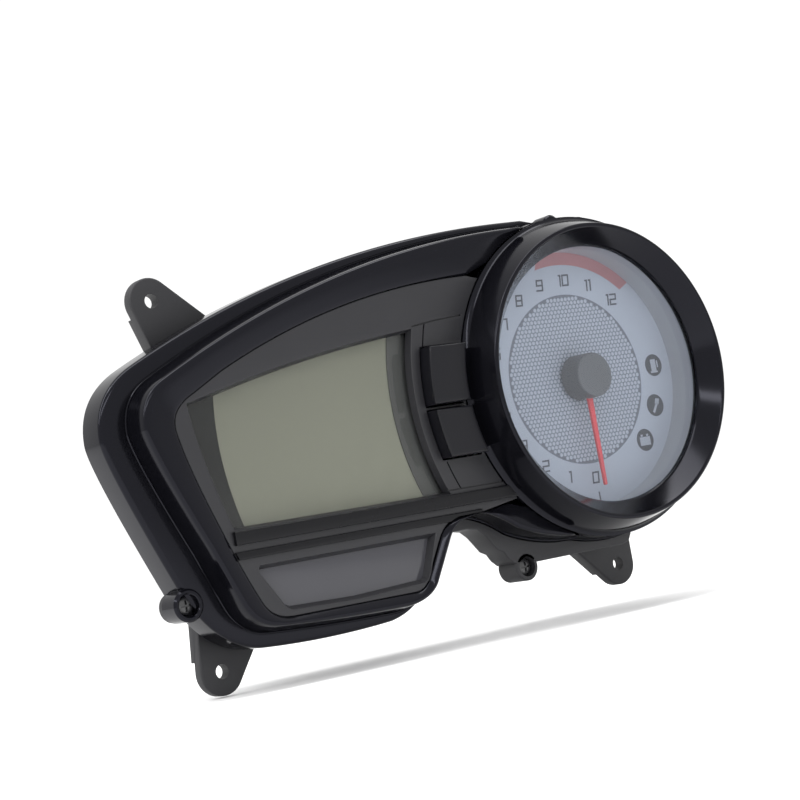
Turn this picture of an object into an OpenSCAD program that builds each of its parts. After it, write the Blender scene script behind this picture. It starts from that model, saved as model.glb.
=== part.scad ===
// Instrument cluster for a motorcycle: rev counter dial with pointer, liquid
// crystal display, warning lamp strip and two push buttons in one housing.
// Units are millimetres. +X is to the rider's right, +Z is up, +Y goes from the
// rider into the housing, so every face the rider sees points to -Y.
// The origin is the screw hole of the lower right ear, on the ear's front face.

/* [Dial] */
// outside radius of the ring's front edge
ring_front_r = 50.4; // [45:0.1:55]
// outside radius of the ring where it meets the panel
ring_base_r = 54; // [50:0.5:60]
// how far the ring's front edge stands in front of the dial face
ring_height = 20.2; // [14:0.1:26]
// radius of the opening in the ring
ring_open_r = 43.6; // [38:0.1:47]
// radius of the dial plate
dial_r = 46; // [40:0.5:50]
// radius of the pointer's hub
hub_r = 7.6; // [5:0.1:10]
// length of the pointer from the shaft
pointer_len = 37.5; // [25:0.5:40]
// thickness of the dial lens
lens_t = 1.7; // [1:0.1:3]

/* [Cover] */
// depth of the wall round the outside of the cover
flange_depth = 11; // [8:0.5:16]
// how far the rim stands in front of the ledge
rim_height = 9.5; // [6:0.5:14]
// wall thickness of the cover
wall = 2.4; // [1.6:0.1:3.2]
// how far the inner panel lies behind the rim
panel_drop = 1.5; // [0.5:0.1:4]

/* [Buttons] */
// how far a button stands in front of the dial face
button_front = 13; // [9:0.5:16]
// how far a button travels
button_travel = 1.2; // [0.3:0.1:2]
// gap round a button
button_gap = 0.4; // [0.3:0.05:0.8]

/* [Display] */
// front of the display window
window_y = -5.5; // [-7:0.1:-3]
// thickness of the display window
window_t = 1.5; // [1:0.1:3]

/* [Housing] */
// back face of the rear housing
back_y = 38; // [30:1:50]
// thickness of the housing's walls
shell_t = 2.2; // [1.6:0.1:3]
// front face of the mounting ears
ear_y = 14; // [12:0.5:20]
// thickness of the mounting ears
ear_t = 4; // [3:0.5:6]
// radius of the screw holes in the ears
ear_hole_r = 2.25; // [2:0.05:3.5]
// radius of the rounded tip of an ear
ear_tip_r = 7.4; // [6:0.1:10]
// front face of the circuit board
board_y = 12.6; // [11:0.1:14]
// thickness of the circuit board
board_t = 1.6; // [1:0.1:2]

/* [Hidden] */
$fn = 96;
ear_ul = [-151.1, 42.4];
ear_ll = [-148.8, -72.6];
ear_lr = [15.4, -65.3];
ear_ur = [26.8, 51.3];
boss_ll = [-165, -50.7];
boss_lm = [-35.3, -59.5];
boss_top = [5.5, 54.4];
panel_y = -rim_height + panel_drop;
board_back = board_y + board_t;
boss_right = [55.8, -15];
rear_screws = [[-112, 34], [-161, -22], [-46, 44.6]];
board_screws = [[-158, -4, 30], [-146.5, -49, 20], [20, -34, 36], [16, 36, 36], [-66, 31, 36]];
upper_mid = 6.5;
lower_mid = -12.6;

function arc(c, r, a0, a1, n) =
  [for (i = [0 : n]) c + r * [cos(a0 + (a1 - a0) * i / n), sin(a0 + (a1 - a0) * i / n)]];
function bez(a, b, c, n) =
  [for (i = [1 : n]) let (t = i / n) (1 - t) * (1 - t) * a + 2 * t * (1 - t) * b + t * t * c];
function unit(v) = v / norm(v);
// moves every side of an anticlockwise outline outwards by d
function grow(p, d) =
  [for (i = [0 : len(p) - 1])
    let (a = p[(i + len(p) - 1) % len(p)], b = p[i], c = p[(i + 1) % len(p)])
    let (u = unit(b - a), v = unit(c - b), n1 = [u[1], -u[0]], n2 = [v[1], -v[0]])
    b + d * (n1 + n2) / (1 + n1 * n2)];

// outside edge of the cover, going anticlockwise from under the ring
function cover_edge() = concat(
  arc([0, 0], 55.6, -106, 97, 28),
  bez([-7, 56.4], [-96, 56.4], [-169, 22], 14),
  bez([-169, 22], [-183.4, 15.2], [-183.4, 0.8], 6),
  bez([-183.4, 0.8], [-183.4, -6], [-165.5, -47], 7),
  bez([-165.5, -47], [-155.5, -66.5], [-140, -67.6], 6),
  bez([-140, -67.6], [-117, -69.4], [-93, -67.8], 3),
  bez([-93, -67.8], [-84, -66.5], [-78, -59.5], 4),
  [[-69.5, -46.5]],
  bez([-69.5, -46.5], [-68, -43.5], [-64.5, -41.5], 3),
  bez([-60, -39.8], [-52, -40.8], [-43, -47.4], 4),
  bez([-43, -47.4], [-34, -51.8], [-22, -53.2], 4));
// edge of the rim that stands up from the ledge
function rim_edge() = concat(
  arc([0, 0], 54.9, -106, 97, 28),
  bez([-12, 52.6], [-92, 52.6], [-165.4, 15.7], 14),
  bez([-165.4, 15.7], [-173.6, 11.5], [-173.5, 1.5], 5),
  bez([-173.5, 1.5], [-172.5, -6], [-158.5, -36], 6),
  [[-151.4, -53]],
  bez([-151.4, -53], [-148, -61], [-139, -61.8], 5),
  bez([-139, -61.8], [-117, -63.6], [-92, -63.8], 3),
  bez([-92, -63.8], [-83.6, -63.4], [-79.6, -58.6], 4),
  [[-71.4, -45]],
  bez([-71.4, -45], [-69.8, -42], [-66.5, -40.6], 3),
  bez([-61, -38.8], [-53, -39.6], [-43.8, -46.4], 4),
  bez([-43.8, -46.4], [-34, -50.7], [-22, -52.0], 4));
// edge of the matt panel that fills the rim
function panel_edge() = concat(
  [for (p = arc([0, 0], 55, -138, -222, 12)) p],
  bez([-41.4, 38.2], [-95, 38.2], [-144, 16.4], 8),
  [[-154.7, 10.8]],
  bez([-154.7, 10.8], [-163.6, 7], [-162.8, 0], 5),
  bez([-162.8, 0], [-161, -11], [-153.4, -31], 4),
  bez([-153.4, -31], [-148, -46], [-143.4, -55], 3),
  bez([-143.4, -55], [-140.5, -59.6], [-134, -59.8], 3),
  [[-88, -60.2]],
  bez([-88, -60.2], [-84.6, -60.2], [-82.6, -57.6], 3),
  [[-74.4, -44]],
  bez([-74.4, -44], [-72, -40.6], [-67, -39.4], 2),
  [[-56, -39.2]]);
// opening of the display, following the ring on its right side
function lcd_open() = concat(
  [for (p = arc([0, 0], 75, 205, 162.6, 10)) p],
  bez([-71.6, 22.4], [-112, 19], [-149, 9.8], 5),
  [[-157.6, 7.8]],
  bez([-157.6, 7.8], [-156.6, -8], [-148.8, -31.4], 5));
// part of the display that lights up
function lcd_view() = concat(
  [for (p = arc([0, 0], 81.7, 202.5, 164.8, 8)) p],
  bez([-78.8, 21], [-112, 17.8], [-146, 9.4], 5),
  bez([-146, 9.4], [-149, -10], [-143, -31], 5));
function telltale_open() =
  [[-76.6, -43], [-142.4, -43], [-143.4, -44.6], [-135.6, -56.6], [-133.6, -57.6], [-110, -58.4],
   [-84, -57.6], [-82, -56.6]];
// the rear housing shows below the cover between the lamp strip and the ring
function chin_edge() =
  [[-64, -38], [-64, -43.8], [-57, -43.8], [-53, -44.5], [-50.4, -46.7], [-48.4, -49.3],
   [-46.2, -52.2], [-43.8, -53.4], [-42.2, -55.9], [-40, -57.8], [-36, -58.6], [8, -58.6],
   [11, -57.8], [12.4, -55.6], [15, -48], [15, -38]];
function chin_hollow() =
  [[-62, -34], [-62, -41.6], [-55, -41.6], [-50.4, -45], [-40, -54], [-34, -56.2],
   [8, -56.2], [12.6, -48], [12.6, -34]];
function tub_edge() = concat(
  arc([0, 0], 50.4, -70, 100, 24),
  bez([-14, 50.6], [-92, 50.6], [-163, 17.6], 8),
  bez([-163, 17.6], [-177.6, 12], [-177.6, 0], 4),
  bez([-177.6, 0], [-176.4, -8], [-160.2, -45], 4),
  bez([-160.2, -45], [-152, -61], [-139, -62], 4),
  [[-93, -62.4]],
  bez([-93, -62.4], [-86, -62], [-82, -56], 3),
  [[-74, -42], [-66, -37.5]],
  [[-50, -37.5], [-36, -47], [-24, -50.5], [6, -50.5]]);

// floor of the deep part of the housing, moved outwards by d
function tub_floor(d) = grow(concat(
  arc([0, 0], 41, -60, 96, 20),
  bez([-14, 41.5], [-70, 41.5], [-140, 15], 6),
  bez([-146, 12.6], [-164, 5], [-161, -8], 5),
  bez([-153, -38], [-149, -51], [-138, -51], 4),
  bez([-100, -51], [-88, -51], [-84, -42], 4),
  bez([-84, -42], [-80, -33.5], [-70, -33.5], 4),
  [[-46, -33.5]],
  bez([-40, -34], [-20, -46], [6, -43], 4)), d);

// stands a flat outline up and gives it a depth from y0 to y1
module slab(y0, y1) {
  translate([0, y1, 0]) rotate([90, 0, 0]) linear_extrude(y1 - y0) children();
}
// turns a profile of [radius, distance in front of the dial] about the dial's axis
module turned() {
  rotate([90, 0, 0]) rotate_extrude() children();
}
// puts the origin on the lower right ear's hole
module placed() {
  translate([-ear_lr[0], -ear_y, -ear_lr[1]]) children();
}
module rod(p, r, y0, y1) {
  slab(y0, y1) translate(p) circle(r);
}
module block(x0, x1, y0, y1, z0, z1) {
  translate([x0, y0, z0]) cube([x1 - x0, y1 - y0, z1 - z0]);
}
// sector of a ring between two radii, cut level at z0 and z1, on the dial's left
module sector(r0, r1, z0, z1, y0, y1) {
  intersection() {
    slab(y0, y1) difference() {
      circle(r1);
      circle(r0);
    }
    block(-r1 - 5, -20, y0 - 1, y1 + 1, z0, z1);
  }
}

module front_cover() {
  color([0.03, 0.03, 0.035]) placed() difference() {
    union() {
      // ledge and the wall round the outside
      difference() {
        slab(0, flange_depth) polygon(cover_edge());
        slab(wall, flange_depth + 1) polygon(grow(cover_edge(), -wall));
        slab(-1, wall + 1) polygon(grow(rim_edge(), -wall));
      }
      // rim wall
      difference() {
        slab(-rim_height, wall) polygon(rim_edge());
        slab(-rim_height - 1, wall + 1) polygon(grow(rim_edge(), -wall));
      }
      // rim face
      difference() {
        slab(-rim_height, -rim_height + 2) polygon(grow(rim_edge(), -0.5));
        slab(-rim_height - 1, -rim_height + 3) polygon(panel_edge());
      }
      // shelf inside the wall that presses on the seal
      difference() {
        slab(5.2, 7.5) polygon(grow(cover_edge(), -wall + 0.3));
        slab(5, 8) polygon(grow(cover_edge(), -4.6));
      }
      rod(boss_ll, 5, -2, 5.8);
      // half round bosses beside the dial
      difference() {
        union() {
          rod(boss_top, 3.9, 4, 10.8);
          rod(boss_right, 3.9, 4, 10.8);
        }
        slab(3, 12) polygon(grow(cover_edge(), -wall));
      }
      // posts for the screws from behind
      for (p = rear_screws) rod(p, 3.6, -rim_height + 1, 8.4);
      // seat for the ring
      difference() {
        rod([0, 0], 54.2, -5.6, -3.2);
        rod([0, 0], 47.8, -6, 3);
      }
    }
    rod(boss_ll, 1.6, -3, 7);
    rod(boss_ll, 3.4, -3, 2);
    rod(boss_ll, 4.9, 5.8, flange_depth + 1);
    rod(boss_top, 1.3, 5.5, flange_depth + 1);
    rod(boss_right, 1.3, 5.5, flange_depth + 1);
    for (p = rear_screws) rod(p, 1.3, -4, flange_depth + 1);
    slab(-rim_height - 1, -5.6) polygon(panel_edge());
    rod([0, 0], 47.8, -20, 12.5);
    rod([0, 0], 55.3, -20, -5.6);
  }
}

module inner_panel() {
  color([0.16, 0.16, 0.17]) placed() difference() {
    union() {
      slab(panel_y, panel_y + 2.38) polygon(grow(panel_edge(), -0.2));
      // lip that sits behind the rim
      difference() {
        slab(panel_y + 0.55, panel_y + 2.38) intersection() {
          polygon(grow(panel_edge(), 1.8));
          polygon(grow(rim_edge(), -wall - 0.2));
        }
        for (p = rear_screws) rod(p, 3.9, -20, 5);
      }
    }
    slab(-20, 0) polygon(lcd_open());
    slab(-20, 0) polygon(telltale_open());
    rod([0, 0], 54.6, -20, 5);
    sector(56.6 - button_gap, 71 + button_gap, -2.9 - button_gap, 15.8 + button_gap, -20, 5);
    sector(56.6 - button_gap, 71 + button_gap, -20.2 - button_gap, -4.6 + button_gap, -20, 5);
  }
}

module shelf_trim() {
  color([0.14, 0.14, 0.15]) placed() difference() {
    intersection() {
      union() {
        block(-150, -36, panel_y - 1.6, panel_y - 0.02, -36, -31.9);
        block(-154, -58, panel_y - 1.0, panel_y - 0.02, -40.4, -38);
      }
      slab(-20, 0) polygon(grow(panel_edge(), -0.3));
    }
    rod([0, 0], 54.5, -20, 5);
  }
}

module tacho_ring() {
  color([0.03, 0.03, 0.035]) placed() turned() polygon([
    [ring_open_r, 12.7], [ring_open_r, 13.5], [47.8, ring_height - 0.4], [48.8, ring_height],
    [ring_front_r - 0.4, ring_height - 0.2], [ring_front_r, ring_height - 1], [ring_base_r, 8],
    [ring_base_r, 5.8], [46.6, 5.8], [46.6, 12.7]]);
}

module tacho_lens() {
  color([0.9, 0.93, 0.95, 0.3]) placed() rod([0, 0], 46.4, -10.8 - lens_t, -10.8);
}

module lens_gasket() {
  color([0.02, 0.02, 0.02]) placed() difference() {
    rod([0, 0], 46.4, -10.8, -10);
    rod([0, 0], 44.8, -12, -9);
  }
}

module dial_surround() {
  color([0.72, 0.73, 0.75]) placed() turned() polygon([
    [44.2, 0], [44.8, 9.9], [46.2, 9.9], [46.2, 0]]);
}

module dial_plate() {
  color([0.7, 0.73, 0.78]) placed() difference() {
    rod([0, 0], dial_r, 0.02, 0.8);
    rod([0, 0], 2.2, -1, 2);
  }
}

module dial_frame() {
  color([0.9, 0.9, 0.9]) placed() turned() polygon([
    [46.3, 0.4], [47.4, 0.4], [47.4, -12.58], [44, -12.58], [44, -3.5], [46.3, -3.5]]);
}

module dial_light_guide() {
  color([0.95, 0.95, 0.95]) placed() difference() {
    rod([0, 0], dial_r - 0.4, 0.82, 3.4);
    rod([0, 0], 3, 0, 5);
  }
}

module pointer() {
  color([0.85, 0.12, 0.08]) placed() difference() {
    union() {
      slab(-5.4, -4.2) polygon([[-1.3, 4], [-1.3, -6], [-0.55, -pointer_len], [0.55, -pointer_len],
        [1.3, -6], [1.3, 4]]);
      rod([0, 0], 5, -5.4, -4.2);
    }
    rod([0, 0], 0.75, -7, 0);
  }
}

module pointer_hub() {
  color([0.36, 0.36, 0.37]) placed() difference() {
    turned() polygon([[0, 5.42], [hub_r - 1.6, 5.42], [hub_r - 1.6, 1.4], [hub_r + 0.2, 1.4],
      [hub_r, 9.5], [hub_r - 0.6, 9.9], [0, 9.9]]);
    slab(-5.42, 0) polygon([[-1.8, 0], [-1.8, -9], [1.8, -9], [1.8, 0]]);
    rod([0, 0], 0.75, -7.4, 0);
  }
}

module motor_shaft() {
  color([0.75, 0.75, 0.76]) placed() rod([0, 0], 0.75, -7.4, 11);
}

module stepper_motor() {
  color([0.08, 0.08, 0.09]) placed() difference() {
    union() {
      slab(4, 12.4) polygon([[-9, -8], [9, -8], [9, 18], [5, 22], [-5, 22], [-9, 18]]);
      rod([0, 0], 2, 2, 4.1);
    }
    rod([0, 0], 0.8, 0, 11.2);
  }
}

module motor_pins() {
  color([0.8, 0.78, 0.7]) placed() {
    for (x = [-7, 7]) rod([x, 16], 0.35, 12.4, 16);
    for (x = [-7, 7]) rod([x, -5], 0.35, 12.4, 16);
  }
}

module upper_button() {
  color([0.07, 0.07, 0.075]) placed() {
    sector(56.6, 71, -2.9, 15.8, -button_front, -3.4);
    rod([-63.5, upper_mid], 2.2, -3.5, 8.3);
  }
}

module lower_button() {
  color([0.07, 0.07, 0.075]) placed() {
    sector(56.6, 71, -20.2, -4.6, -button_front, -3.4);
    rod([-62.5, lower_mid], 2.2, -3.5, 8.3);
  }
}

module upper_plunger() {
  color([0.75, 0.1, 0.08]) placed() rod([-63.5, upper_mid], 1.7, 8.32, 11.1);
}

module lower_plunger() {
  color([0.75, 0.1, 0.08]) placed() rod([-62.5, lower_mid], 1.7, 8.32, 11.1);
}

module tact_switches() {
  color([0.1, 0.1, 0.1]) placed() difference() {
    for (p = [[-63.5, upper_mid], [-62.5, lower_mid]])
      block(p[0] - 3, p[0] + 3, 9.8, board_y - 0.02, p[1] - 3, p[1] + 3);
    rod([-63.5, upper_mid], 2.1, 9, 12.4);
    rod([-62.5, lower_mid], 2.1, 9, 12.4);
  }
}

module lcd_window() {
  color([0.75, 0.76, 0.74, 0.4]) placed() slab(window_y, window_y + window_t)
    polygon(grow(lcd_open(), 1.5));
}

module lcd_mask() {
  color([0.1, 0.1, 0.11]) placed() difference() {
    slab(window_y + window_t + 0.02, window_y + window_t + 0.4) polygon(grow(lcd_open(), 1.4));
    slab(-10, 0) polygon(lcd_view());
  }
}

module lcd_glass() {
  color([0.55, 0.56, 0.5]) placed()
    block(-147.4, -73, window_y + window_t + 0.42, -0.8, -31.8, 21);
}

module lcd_diffuser() {
  color([0.92, 0.92, 0.9]) placed() block(-147.4, -73, -0.78, 0.6, -31.8, 21);
}

module lcd_housing() {
  color([0.93, 0.93, 0.92]) placed() difference() {
    intersection() {
      block(-149.4, -72.2, -3, board_y - 0.02, -33.4, 24.4);
      slab(-10, 20) polygon(grow(rim_edge(), -wall - 0.3));
    }
    block(-147.6, -72.8, -4, 0.62, -32, 21.2);
    block(-145.6, -75, 0, 20, -29.8, 19.4);
    block(-144, -76.6, 0, 20, 20, 21.2);
    for (p = rear_screws) rod(p, 3.9, -20, 20);
  }
}

module lcd_pins() {
  color([0.8, 0.78, 0.7]) placed()
    for (i = [0 : 16]) block(-143 + i * 4, -142.5 + i * 4, 0.62, 15.6, 20.4, 20.8);
}

module telltale_lens() {
  color([0.25, 0.25, 0.27, 0.6]) placed() slab(window_y, window_y + 1.4) intersection() {
    polygon(grow(telltale_open(), 1.5));
    polygon(grow(rim_edge(), -wall - 0.3));
  }
}

module telltale_film() {
  color([0.12, 0.12, 0.12]) placed() slab(window_y + 1.42, window_y + 1.8) intersection() {
    polygon(grow(telltale_open(), 1.2));
    polygon(grow(rim_edge(), -wall - 0.4));
  }
}

module telltale_light_box() {
  color([0.9, 0.9, 0.9]) placed() difference() {
    intersection() {
      block(-141.6, -84, window_y + 1.82, board_y - 0.02, -57, -43.4);
      slab(-10, 20) polygon(grow(tub_edge(), -shell_t - 0.5));
    }
    for (i = [0 : 4]) block(-140 + i * 11, -130.5 + i * 11, -10, 20, -55.6, -44.8);
  }
}

module telltale_leds() {
  color([0.95, 0.93, 0.8]) placed()
    for (i = [0 : 4]) block(-136.6 + i * 11, -133.8 + i * 11, 10.8, board_y - 0.02, -52, -48.6);
}

module backlight_leds() {
  color([0.95, 0.93, 0.8]) placed()
    for (x = [-140, -118, -96], z = [-18, 8]) block(x, x + 3, 10.8, board_y - 0.02, z, z + 3);
}

module dial_leds() {
  color([0.95, 0.93, 0.8]) placed()
    for (a = [30 : 60 : 330]) rotate([0, a, 0]) block(28, 31, 10.8, board_y - 0.02, -1.5, 1.5);
}

module main_pcb() {
  color([0.05, 0.3, 0.12]) placed() difference() {
    slab(board_y, board_back) intersection() {
      union() {
        polygon([[-162, -24], [-151, -56], [-88, -56], [-79, -42], [-66, -35], [-30, -35],
          [-30, 42], [-60, 41], [-110, 31], [-162, 8]]);
        circle(46);
      }
      polygon(grow(tub_edge(), -shell_t - 0.5));
    }
    for (p = rear_screws) rod(p, 4, 10, 16);
    for (p = board_screws) rod([p[0], p[1]], 1.6, 10, 16);
    for (x = [-7, 7], z = [16, -5]) rod([x, z], 0.45, 10, 16);
    for (i = [0 : 16]) block(-143.2 + i * 4, -142.3 + i * 4, 10, 16, 20.2, 21);
    for (i = [0 : 9], z = [0, 5]) block(-129.4 + i * 4, -128.4 + i * 4, 10, 16, z - 3.5, z - 2.5);
  }
}

module pcb_screws() {
  color([0.7, 0.71, 0.72]) placed()
    for (p = board_screws) {
      rod([p[0], p[1]], 1.15, board_y - 0.5, board_back + 5);
      rod([p[0], p[1]], 2.7, board_y - 1.5, board_y - 0.02);
    }
}

module controller_chip() {
  color([0.05, 0.05, 0.05]) placed() {
    block(-36, -24, board_back + 0.4, board_back + 1.9, -6, 6);
    for (i = [0 : 7]) {
      block(-35.4 + 1.5 * i, -35 + 1.5 * i, board_back + 0.02, board_back + 1, -7, 7);
      block(-37, -23, board_back + 0.02, board_back + 0.9, -5.4 + 1.5 * i, -5 + 1.5 * i);
    }
  }
}

module capacitors() {
  color([0.15, 0.15, 0.2]) placed()
    for (p = [[-60, -20], [-50, -20], [-60, 22]]) rod(p, 4, board_back + 0.02, board_back + 10);
}

module voltage_regulator() {
  color([0.06, 0.06, 0.06]) placed() {
    block(-48, -38, board_back + 0.4, board_back + 4.6, 16, 25);
    for (x = [-47, -43.4, -39.8]) block(x, x + 0.8, board_back + 0.02, board_back + 1.2, 12, 16.1);
  }
}

module connector_header() {
  color([0.85, 0.84, 0.8]) placed() difference() {
    block(-134, -86.4, board_back + 0.02, back_y + 3, -8.6, 6.8);
    block(-132, -88.4, board_back + 4, back_y + 4, -6.6, 4.8);
    for (i = [0 : 9], z = [0, 5])
      block(-129.3 + i * 4, -128.5 + i * 4, board_back - 1, board_back + 5, z - 3.4, z - 2.6);
  }
}

module connector_pins() {
  color([0.82, 0.79, 0.68]) placed()
    for (i = [0 : 9], z = [0, 5])
      block(-129.2 + i * 4, -128.6 + i * 4, board_y - 1.4, back_y - 6, z - 3.3, z - 2.7);
}

module housing_seal() {
  color([0.03, 0.03, 0.03]) placed() difference() {
    slab(7.52, 8.48) polygon(grow(cover_edge(), -wall - 0.3));
    slab(7, 9) polygon(grow(cover_edge(), -4.3));
    rod(boss_ll, 4.9, 7, 9);
  }
}

// ear with a round tip at p; its sides leave the tip at the angles a and b
module ear(p, a, base_a, b, base_b) {
  ta = p + ear_tip_r * [cos(a), sin(a)];
  tb = p + ear_tip_r * [cos(b), sin(b)];
  slab(ear_y, ear_y + ear_t) union() {
    translate(p) circle(ear_tip_r);
    polygon([ta, base_a, base_b, tb, p]);
  }
}
// stiffening rib behind one side of an ear
module rib(a, b, w) {
  n = [unit(b - a)[1], -unit(b - a)[0]];
  slab(ear_y + ear_t - 1, ear_y + ear_t + 1.6) polygon([a, b, b + w * n, a + w * n]);
}
// lug on the tub behind one of the cover's bosses beside the dial
module lug(p) {
  u = unit(p);
  n = [-u[1], u[0]];
  slab(flange_depth + 0.3, flange_depth + 3.4) union() {
    translate(p) circle(3.4);
    polygon([49 * u + 3.4 * n, p + 3.4 * n, p - 3.4 * n, 49 * u - 3.4 * n]);
  }
}

module rear_housing() {
  color([0.1, 0.1, 0.105]) placed() difference() {
    union() {
      // chin below the cover, deeper under the dial
      difference() {
        union() {
          slab(1, 11.4) polygon(chin_edge());
          slab(11.3, 18) intersection() {
            polygon(chin_edge());
            polygon([[-24, -70], [30, -70], [30, -30], [-24, -30]]);
          }
        }
        slab(0, 11.4) polygon(grow(cover_edge(), 0.3));
        slab(3.4, 30) polygon(chin_hollow());
        slab(8, 18.8) polygon(grow(tub_edge(), -shell_t));
      }
      // web that ties the chin to the tub
      difference() {
        slab(11.3, 13.5) polygon(grow(chin_edge(), -1.8));
        slab(11, 14) polygon(grow(tub_edge(), -shell_t));
      }
      // flange inside the cover's wall and first step of the tub
      difference() {
        union() {
          slab(8.5, 11) polygon(grow(cover_edge(), -wall - 0.2));
          slab(8.6, 12.1) intersection() {
            polygon(tub_edge());
            polygon(grow(cover_edge(), -wall - 0.2));
          }
          slab(12, 21) polygon(tub_edge());
        }
        slab(8, 18.8) polygon(grow(tub_edge(), -shell_t));
        slab(18, 22) polygon(tub_floor(-shell_t));
      }
      // deep part of the tub
      difference() {
        slab(18.8, back_y) polygon(tub_floor(0));
        slab(18, back_y - shell_t) polygon(tub_floor(-shell_t));
      }
      rod(boss_lm, 4.7, 1, 11);
      // lug for the lower left screw, let into the cover's wall
      rod(boss_ll, 4.6, 6, 8.6);
      slab(8.5, 11) polygon([for (q = [[0, 2.8], [8, 2.8], [8, -2.8], [0, -2.8]])
        boss_ll + q[0] * [0.89, 0.456] + q[1] * [-0.456, 0.89]]);
      lug(boss_top);
      lug(boss_right);
      for (p = rear_screws) rod(p, 3.6, 8.5, 20);
      for (p = board_screws) rod([p[0], p[1]], 3, board_back + 0.02, p[2]);
      // ears
      ear(ear_ul, 199.8, [-152.7, 24.8], 49.7, [-128, 32.4]);
      ear(ear_ll, 174.4, [-154.6, -56], -36, [-130.6, -60.2]);
      ear(ear_lr, 225.4, [-8.6, -52], 0, [22.8, -43]);
      ear(ear_ur, 125.9, [9.9, 48.2], -1.2, [33.9, 35.6]);
      rib([-157.2, 37.6], [-152.7, 24.8], -2.2);
      rib([-155.9, -68.6], [-154.6, -56], 2.2);
      rib([7.4, -67.8], [-4.8, -55.7], 2.2);
    }
    for (p = [ear_ul, ear_ll, ear_lr, ear_ur]) rod(p, ear_hole_r, ear_y - 1, ear_y + ear_t + 1);
    rod(boss_lm, 1.3, 0, 10.4);
    rod(boss_lm, 3.3, 0, 4);
    rod(boss_ll, 1.3, 5, flange_depth + 1);
    rod(boss_top, 1.6, flange_depth, 15);
    rod(boss_right, 1.6, flange_depth, 15);
    for (p = rear_screws) rod(p, 1.7, 8, 22);
    for (p = board_screws) rod([p[0], p[1]], 1.2, board_back, board_back + 5.6);
    block(-134.2, -86.2, 30, back_y + 1, -8.8, 7);
  }
}
module housing_screws() {
  color([0.2, 0.2, 0.21]) placed() {
    for (q = [[boss_ll, 2, 8.5], [boss_lm, 4, 10.2]]) {
      rod(q[0], 1.25, q[1] - 0.5, q[2]);
      difference() {
        rod(q[0], 2.9, q[1] - 2, q[1]);
        block(q[0][0] - 1.7, q[0][0] + 1.7, q[1] - 3, q[1] - 1, q[0][1] - 0.35, q[0][1] + 0.35);
        block(q[0][0] - 0.35, q[0][0] + 0.35, q[1] - 3, q[1] - 1, q[0][1] - 1.7, q[0][1] + 1.7);
      }
    }
  }
}

module rear_cover_screws() {
  color([0.2, 0.2, 0.21]) placed() {
    for (p = rear_screws) {
      rod(p, 1.25, 1, 21.5);
      rod(p, 2.9, 21.02, 23);
    }
    for (p = [boss_top, boss_right]) {
      rod(p, 1.25, 6, 15);
      rod(p, 2.9, flange_depth + 3.42, flange_depth + 5.4);
    }
  }
}

module breather_cap() {
  color([0.05, 0.05, 0.05]) placed() rod([-120, -20], 5, back_y + 0.02, back_y + 3);
}

front_cover();
inner_panel();
shelf_trim();
tacho_ring();
tacho_lens();
lens_gasket();
dial_surround();
dial_plate();
dial_light_guide();
dial_frame();
pointer();
pointer_hub();
motor_shaft();
stepper_motor();
motor_pins();
upper_button();
lower_button();
upper_plunger();
lower_plunger();
tact_switches();
lcd_window();
lcd_mask();
lcd_glass();
lcd_diffuser();
lcd_housing();
lcd_pins();
telltale_lens();
telltale_film();
telltale_light_box();
telltale_leds();
backlight_leds();
dial_leds();
main_pcb();
pcb_screws();
controller_chip();
capacitors();
voltage_regulator();
connector_header();
connector_pins();
housing_seal();
rear_housing();
housing_screws();
rear_cover_screws();
breather_cap();
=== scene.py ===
import bpy
import bmesh
import math
import numpy as np
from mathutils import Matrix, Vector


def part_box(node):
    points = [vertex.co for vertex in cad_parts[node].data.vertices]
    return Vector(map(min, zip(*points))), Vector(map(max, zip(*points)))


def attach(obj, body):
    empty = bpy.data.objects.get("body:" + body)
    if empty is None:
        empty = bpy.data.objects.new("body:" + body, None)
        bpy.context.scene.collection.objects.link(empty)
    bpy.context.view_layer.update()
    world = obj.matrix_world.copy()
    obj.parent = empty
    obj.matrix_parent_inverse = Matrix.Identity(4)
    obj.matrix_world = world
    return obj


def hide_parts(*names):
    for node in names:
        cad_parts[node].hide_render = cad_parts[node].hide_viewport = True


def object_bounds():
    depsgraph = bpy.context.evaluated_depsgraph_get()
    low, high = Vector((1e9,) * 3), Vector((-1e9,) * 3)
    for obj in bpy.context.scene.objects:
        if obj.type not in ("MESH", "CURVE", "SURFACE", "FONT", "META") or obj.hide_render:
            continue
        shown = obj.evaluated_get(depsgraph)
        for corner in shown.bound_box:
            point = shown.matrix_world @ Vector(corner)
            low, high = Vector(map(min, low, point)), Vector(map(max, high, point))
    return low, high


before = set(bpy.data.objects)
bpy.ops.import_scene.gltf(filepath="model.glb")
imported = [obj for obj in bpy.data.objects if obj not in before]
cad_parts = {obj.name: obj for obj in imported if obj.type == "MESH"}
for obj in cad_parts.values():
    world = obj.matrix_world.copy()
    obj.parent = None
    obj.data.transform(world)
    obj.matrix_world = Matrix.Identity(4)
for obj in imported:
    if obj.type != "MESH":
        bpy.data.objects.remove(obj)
cad_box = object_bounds()

# ---------------------------------------------------------------- camera
# A short telephoto to the left of the cluster and a little below the dial's middle.
# It is rolled, so that the cluster rises to the right.
lens = bpy.data.cameras.new("camera")
lens.lens = 91.476
lens.sensor_width = 36
camera = bpy.data.objects.new("camera", lens)
camera.location = (-0.4738, -0.5416, 0.0267)
camera.rotation_euler = (math.radians(93.528), math.radians(10.248), math.radians(-35.36))
bpy.context.scene.collection.objects.link(camera)
bpy.context.scene.camera = camera


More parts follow.
